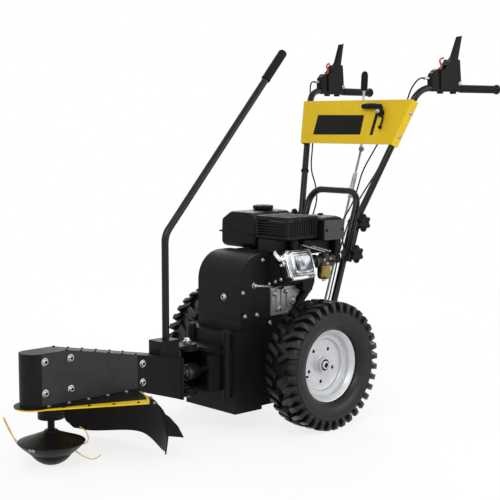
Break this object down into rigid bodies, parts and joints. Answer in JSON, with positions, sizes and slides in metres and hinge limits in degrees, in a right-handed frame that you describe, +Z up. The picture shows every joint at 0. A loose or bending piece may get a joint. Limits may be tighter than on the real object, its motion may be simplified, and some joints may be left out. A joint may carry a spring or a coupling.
{
  "type": "wheeled string trimmer",
  "caption": "Walk-behind string trimmer: petrol engine and belt cover on a wheeled chassis, a swinging trimmer arm with line head in front, handlebars with clutch levers behind.",
  "frame": {"origin": "on the ground, under the middle of the machine's length and width", "axes": "+Z up, -Y towards the trimmer head at the front, +Y towards the operator, +X to the operator's left"},
  "size_m": [0.6266, 1.7694, 1.246],
  "materials": {
    "black_paint": "satin black powder coat",
    "black_cast": "black painted casting",
    "yellow_paint": "satin yellow powder coat",
    "alloy": "cast",
    "bright_cover": "polished",
    "steel": "zinc plated",
    "rim_silver": "silver paint",
    "tyre": "moulded",
    "rubber": "matt",
    "black_plastic": "fine texture",
    "red_plastic": "moulded",
    "amber_line": "extruded nylon"
  },
  "bodies": {
    "root": {"chassis_frame": "black_paint", "gearbox_case": "black_cast", "belt_cover": "black_paint", "cover_plates": "black_paint", "machine_screws": "steel", "crankcase": "alloy", "cylinder_head": "black_cast", "valve_cover": "bright_cover", "fuel_tank": "black_paint", "muffler": "black_paint", "muffler_guard": "black_paint", "air_cleaner": "black_plastic", "carburettor": "alloy", "blower_housing": "black_plastic", "pto_belt": "rubber", "drive_belt": "rubber", "rear_loop": "black_paint", "handlebar_left": "black_paint", "handlebar_right": "black_paint", "console_panel": "yellow_paint", "hand_grips": "rubber", "lever_brackets": "black_plastic", "control_cables": "black_plastic", "swing_pins": "steel"},
    "wheels": {"axle_shaft": "steel", "rim_left": "rim_silver", "rim_right": "rim_silver", "tyre_left": "tyre", "tyre_right": "tyre", "axle_nuts": "steel"},
    "crankshaft": {"crankshaft": "steel"},
    "pto_shaft": {"pto_shaft": "steel"},
    "worm_shaft": {"worm_shaft": "steel"},
    "trimmer_arm": {"arm_tube": "black_paint", "swing_lever": "black_paint", "swing_grip": "rubber", "trimmer_housing": "black_paint", "base_plate": "yellow_paint", "deflector": "rubber", "bevel_case": "black_cast", "housing_screws": "steel"},
    "drive_shaft": {"drive_shaft": "steel"},
    "trimmer_head": {"spindle": "steel", "line_head": "black_plastic", "trimmer_lines": "amber_line"},
    "glide_cup": {"glide_cup": "black_plastic"},
    "throttle_lever": {"throttle_lever": "black_plastic"},
    "gear_selector": {"gear_selector": "steel"},
    "fuel_cap": {"fuel_cap": "black_plastic"},
    "starter_grip": {"starter_grip": "black_plastic"},
    "pto_tensioner": {"pto_tensioner": "steel"},
    "drive_tensioner": {"drive_tensioner": "steel"},
    "clutch_lever_left": {"clutch_lever_left": "black_plastic"},
    "lock_tab_left": {"lock_tab_left": "red_plastic"},
    "knob_upper_left": {"knob_upper_left": "black_plastic"},
    "knob_lower_left": {"knob_lower_left": "black_plastic"},
    "clutch_lever_right": {"clutch_lever_right": "black_plastic"},
    "lock_tab_right": {"lock_tab_right": "red_plastic"},
    "knob_upper_right": {"knob_upper_right": "black_plastic"},
    "knob_lower_right": {"knob_lower_right": "black_plastic"}
  },
  "joints": [
    {"name": "wheel_spin", "type": "hinge", "parent": "root", "child": "wheels", "pos_m": [0, 0.07034, 0.203], "axis": [1, 0, 0], "continuous": true},
    {"name": "crank_spin", "type": "hinge", "parent": "root", "child": "crankshaft", "pos_m": [0, 0.07034, 0.452], "axis": [0, 1, 0], "continuous": true},
    {"name": "pto_spin", "type": "hinge", "parent": "root", "child": "pto_shaft", "pos_m": [0, -0.12966, 0.19], "axis": [0, 1, 0], "continuous": true},
    {"name": "worm_spin", "type": "hinge", "parent": "root", "child": "worm_shaft", "pos_m": [0, -0.02966, 0.263], "axis": [0, 1, 0], "continuous": true},
    {"name": "arm_swing", "type": "hinge", "parent": "root", "child": "trimmer_arm", "pos_m": [0, -0.27966, 0.19], "axis": [0, 0, 1], "range_deg": [-20, 20]},
    {"name": "drive_spin", "type": "hinge", "parent": "trimmer_arm", "child": "drive_shaft", "pos_m": [0, -0.27966, 0.19], "axis": [0, 0.9903, -0.1392], "continuous": true},
    {"name": "head_spin", "type": "hinge", "parent": "trimmer_arm", "child": "trimmer_head", "pos_m": [0, -0.77466, 0.1], "axis": [0, 0, 1], "continuous": true},
    {"name": "cup_spin", "type": "hinge", "parent": "trimmer_head", "child": "glide_cup", "pos_m": [0, -0.77466, 0.02], "axis": [0, 0, 1], "continuous": true},
    {"name": "clutch_left", "type": "hinge", "parent": "root", "child": "clutch_lever_left", "pos_m": [0.26972, 0.68107, 1.086], "axis": [-0.9925, 0.1219, 0], "range_deg": [0, 70], "stiffness_Nm_per_rad": 0.6, "springref_deg": -14.32},
    {"name": "lock_left", "type": "hinge", "parent": "root", "child": "lock_tab_left", "pos_m": [0.26021, 0.60365, 1.133], "axis": [-0.9925, 0.1219, 0], "range_deg": [-12, 12], "stiffness_Nm_per_rad": 0.05},
    {"name": "clutch_right", "type": "hinge", "parent": "root", "child": "clutch_lever_right", "pos_m": [-0.26972, 0.68107, 1.086], "axis": [-0.9925, -0.1219, 0], "range_deg": [0, 70], "stiffness_Nm_per_rad": 0.6, "springref_deg": -14.32},
    {"name": "lock_right", "type": "hinge", "parent": "root", "child": "lock_tab_right", "pos_m": [-0.26021, 0.60365, 1.133], "axis": [-0.9925, -0.1219, 0], "range_deg": [-12, 12], "stiffness_Nm_per_rad": 0.05},
    {"name": "throttle", "type": "hinge", "parent": "root", "child": "throttle_lever", "pos_m": [0.135, 0.45857, 0.98482], "axis": [0, 0.9335, -0.3587], "range_deg": [-20, 20]},
    {"name": "gear_shift", "type": "slide", "parent": "root", "child": "gear_selector", "axis": [0, 0.3253, 0.9456], "range_m": [-0.015, 0.015]},
    {"name": "fuel_cap_turn", "type": "hinge", "parent": "root", "child": "fuel_cap", "pos_m": [-0.072, 0.10834, 0.67], "axis": [0, 0, 1], "range_deg": [0, 90]},
    {"name": "starter_pull", "type": "slide", "parent": "root", "child": "starter_grip", "axis": [-1, 0, 0], "range_m": [0, 0.3], "stiffness_N_per_m": 20, "springref_m": -0.05},
    {"name": "knob_upper_left_turn", "type": "hinge", "parent": "root", "child": "knob_upper_left", "pos_m": [0.14, 0.34365, 0.627], "axis": [1, 0, 0], "continuous": true},
    {"name": "knob_lower_left_turn", "type": "hinge", "parent": "root", "child": "knob_lower_left", "pos_m": [0.14, 0.30985, 0.526], "axis": [1, 0, 0], "continuous": true},
    {"name": "knob_upper_right_turn", "type": "hinge", "parent": "root", "child": "knob_upper_right", "pos_m": [-0.14, 0.34365, 0.627], "axis": [1, 0, 0], "continuous": true},
    {"name": "knob_lower_right_turn", "type": "hinge", "parent": "root", "child": "knob_lower_right", "pos_m": [-0.14, 0.30985, 0.526], "axis": [1, 0, 0], "continuous": true},
    {"name": "pto_tension", "type": "hinge", "parent": "root", "child": "pto_tensioner", "pos_m": [0.1, -0.11966, 0.13], "axis": [0, -1, 0], "range_deg": [0, 1.8]},
    {"name": "drive_tension", "type": "hinge", "parent": "root", "child": "drive_tensioner", "pos_m": [-0.1, -0.08966, 0.205], "axis": [0, 1, 0], "range_deg": [0, 2.9]}
  ],
  "couplings": [
    {"joint": "worm_spin", "follows": "wheel_spin", "ratio": 20},
    {"joint": "drive_spin", "follows": "pto_spin", "ratio": 1},
    {"joint": "head_spin", "follows": "pto_spin", "ratio": 1},
    {"joint": "pto_tension", "follows": "clutch_left", "ratio": 0.025714},
    {"joint": "drive_tension", "follows": "clutch_right", "ratio": 0.041429}
  ]
}
